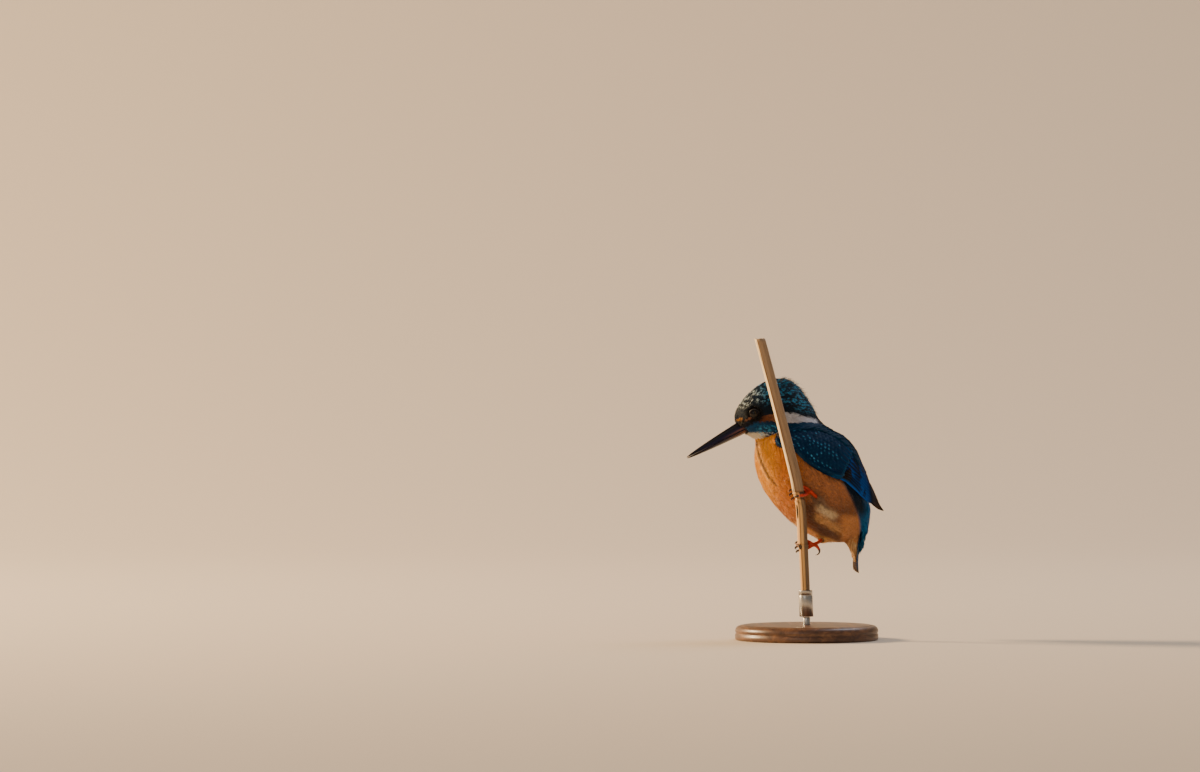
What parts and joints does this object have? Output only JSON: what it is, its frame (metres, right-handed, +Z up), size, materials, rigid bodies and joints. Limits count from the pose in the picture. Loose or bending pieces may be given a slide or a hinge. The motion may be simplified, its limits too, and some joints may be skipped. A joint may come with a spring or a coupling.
{
  "type": "kingfisher figure",
  "caption": "Life-size common kingfisher in still pose, clinging to the side of a cut reed stem held upright on a plain round display stand.",
  "frame": {"origin": "centre of the stand base's underside", "axes": "+Z up along the stand rod; the bird faces -Y, its left side is +X"},
  "size_m": [0.086, 0.1196, 0.182],
  "materials": {
    "plumage_crown": "barbed feathers, blue-green gloss",
    "plumage_wing": "barbed feathers, blue-green gloss",
    "plumage_azure": "barbed feathers, azure gloss",
    "plumage_rufous": "soft matte feathers",
    "plumage_tail": "barbed feathers, dull blue",
    "bill_horn": "polished black horn",
    "eye_gloss": "wet, dark brown",
    "foot_skin": "scaly vermilion skin",
    "claw_horn": "dark horn",
    "reed_sheath": "dry leaf sheath",
    "reed_cane": "dry bare cane",
    "stand_wood": "stained, satin",
    "stand_steel": "brushed"
  },
  "bodies": {
    "root": {"bill_upper": "bill_horn", "bill_lower": "bill_horn", "eye_left": "eye_gloss", "eye_right": "eye_gloss", "head": "plumage_crown", "neck": "plumage_rufous", "trunk": "plumage_rufous", "belly": "plumage_rufous", "tail": "plumage_tail", "uppertail": "plumage_azure", "undertail": "plumage_rufous", "wing_coverts_left": "plumage_wing", "wing_secondaries_left": "plumage_wing", "wing_primaries_left": "plumage_wing", "wing_coverts_right": "plumage_wing", "wing_secondaries_right": "plumage_wing", "wing_primaries_right": "plumage_wing", "reed_upper": "reed_sheath", "reed_joint": "reed_sheath", "reed_cane": "reed_cane", "reed_sheath": "reed_sheath", "thigh_left": "plumage_rufous", "foot_left": "foot_skin", "claw_hallux_left": "claw_horn", "claw_inner_left": "claw_horn", "claw_middle_left": "claw_horn", "claw_outer_left": "claw_horn", "thigh_right": "plumage_rufous", "foot_right": "foot_skin", "claw_inner_right": "claw_horn", "claw_middle_right": "claw_horn", "claw_outer_right": "claw_horn", "claw_hallux_right": "claw_horn", "stand_base": "stand_wood", "stand_rod": "stand_steel", "stand_cup": "stand_steel"}
  },
  "joints": []
}
